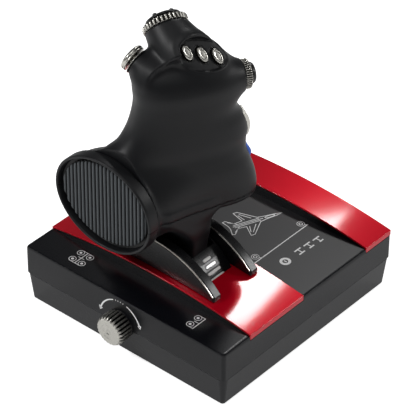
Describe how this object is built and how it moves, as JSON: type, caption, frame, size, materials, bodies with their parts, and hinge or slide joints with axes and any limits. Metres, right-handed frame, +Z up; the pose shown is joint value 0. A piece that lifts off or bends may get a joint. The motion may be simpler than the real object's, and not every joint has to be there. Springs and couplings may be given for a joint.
{
  "type": "flight joystick",
  "caption": "Desk flight joystick: square base with arched red covers and guard fins, tilting right-hand grip with palm rest, hat, buttons and triggers, and a front throttle knob.",
  "frame": {"origin": "middle of the whole footprint, on the surface the feet stand on", "axes": "+X to the right, +Y to the rear (the throttle knob and palm rest face -Y), +Z up"},
  "size_m": [0.2, 0.214, 0.2633],
  "materials": {
    "housing": "fine moulded texture, satin black",
    "cover": "deep clear gloss over candy red",
    "fin": "smooth black, half gloss",
    "grip": "soft-touch matt coat",
    "pad": "ribbed, matt grey",
    "silver": "satin silver plating",
    "hat": "smooth black",
    "white": "clear white",
    "blue": "metallic blue",
    "steel": "turned bright",
    "nylon": "natural moulded",
    "rubber": "matt black",
    "board": "green solder mask",
    "component": "moulded black"
  },
  "bodies": {
    "base": {"lower_housing": "housing", "upper_housing": "housing", "front_red_cover": "cover", "rear_red_cover": "cover", "front_guard_fin": "fin", "rear_guard_fin": "fin", "front_fin_line": "silver", "rear_fin_line": "silver", "foot_front_left": "rubber", "foot_front_right": "rubber", "foot_rear_right": "rubber", "foot_rear_left": "rubber", "screw_front_left": "steel", "screw_front_right": "steel", "screw_rear_right": "steel", "screw_rear_left": "steel", "cable_inlet": "rubber", "main_circuit_board": "board", "throttle_sensor": "component", "gimbal_frame": "nylon", "roll_bush_front": "nylon", "roll_bush_rear": "nylon", "roll_spring": "steel", "roll_sensor": "component"},
    "throttle": {"throttle_knob": "silver", "throttle_shaft": "steel"},
    "roll_carriage": {"slot_shroud": "fin", "shroud_light_guide": "white", "pitch_bush_left": "nylon", "pitch_bush_right": "nylon", "roll_axle": "steel", "pitch_spring": "steel", "pitch_sensor": "component"},
    "stick": {"stick_root": "nylon", "pitch_axle": "steel", "grip_upper_shell": "grip", "grip_lower_shell": "grip", "palm_pad": "pad", "grip_circuit_board": "board", "hat_ring": "silver", "hat_board": "board", "thumb_switch": "component", "side_ring": "silver", "side_switch": "component", "row_button_board": "board", "upper_trigger_pin": "steel", "lower_trigger_pin": "steel", "upper_trigger_switch": "component", "lower_trigger_switch": "component"},
    "hat_gimbal": {"hat_gimbal": "nylon"},
    "hat": {"hat_cap": "hat"},
    "thumb_button": {"thumb_button": "silver"},
    "side_button": {"side_button": "hat"},
    "row_button_rear": {"row_button_rear": "silver"},
    "row_button_middle": {"row_button_middle": "silver"},
    "row_button_front": {"row_button_front": "silver"},
    "upper_trigger": {"upper_trigger": "silver"},
    "lower_trigger": {"lower_trigger": "blue"}
  },
  "joints": [
    {"name": "throttle_turn", "type": "hinge", "parent": "base", "child": "throttle", "pos_m": [-0.002, -0.093, 0.0276], "axis": [0, -1, 0], "range_deg": [-135, 135]},
    {"name": "stick_roll", "type": "hinge", "parent": "base", "child": "roll_carriage", "pos_m": [0, -0.0325, 0.0316], "axis": [0, 1, 0], "range_deg": [-15, 15], "stiffness_Nm_per_rad": 5},
    {"name": "stick_pitch", "type": "hinge", "parent": "roll_carriage", "child": "stick", "pos_m": [0, -0.0325, 0.0596], "axis": [1, 0, 0], "range_deg": [-7, 7], "stiffness_Nm_per_rad": 5},
    {"name": "hat_tilt_fore_aft", "type": "hinge", "parent": "stick", "child": "hat_gimbal", "pos_m": [-0.02017, -0.01781, 0.24496], "axis": [0.5007, -0.2891, 0.816], "range_deg": [-5, 5], "stiffness_Nm_per_rad": 0.15},
    {"name": "hat_tilt_left_right", "type": "hinge", "parent": "hat_gimbal", "child": "hat", "pos_m": [-0.02017, -0.01781, 0.24496], "axis": [0.4401, 0.8967, 0.0476], "range_deg": [-5, 5], "stiffness_Nm_per_rad": 0.15},
    {"name": "thumb_press", "type": "slide", "parent": "stick", "child": "thumb_button", "axis": [0.9059, 0.0795, -0.4159], "range_m": [0, 0.0012], "stiffness_N_per_m": 800, "springref_m": -0.001},
    {"name": "side_press", "type": "slide", "parent": "stick", "child": "side_button", "axis": [-0.5, -0.866, 0], "range_m": [0, 0.0012], "stiffness_N_per_m": 800, "springref_m": -0.001},
    {"name": "row_rear_press", "type": "slide", "parent": "stick", "child": "row_button_rear", "axis": [-0.7297, 0.1558, -0.6658], "range_m": [0, 0.0012], "stiffness_N_per_m": 800, "springref_m": -0.001},
    {"name": "row_middle_press", "type": "slide", "parent": "stick", "child": "row_button_middle", "axis": [-0.7297, 0.1558, -0.6658], "range_m": [0, 0.0012], "stiffness_N_per_m": 800, "springref_m": -0.001},
    {"name": "row_front_press", "type": "slide", "parent": "stick", "child": "row_button_front", "axis": [-0.7297, 0.1558, -0.6658], "range_m": [0, 0.0012], "stiffness_N_per_m": 800, "springref_m": -0.001},
    {"name": "upper_trigger_pull", "type": "hinge", "parent": "stick", "child": "upper_trigger", "pos_m": [0.02227, 0.01057, 0.1766], "axis": [-0.866, 0.5, 0], "range_deg": [0, 5.5], "stiffness_Nm_per_rad": 0.5, "springref_deg": -5.73},
    {"name": "lower_trigger_pull", "type": "hinge", "parent": "stick", "child": "lower_trigger", "pos_m": [0.02227, 0.01057, 0.1481], "axis": [-0.866, 0.5, 0], "range_deg": [0, 5.5], "stiffness_Nm_per_rad": 0.5, "springref_deg": -5.73}
  ]
}
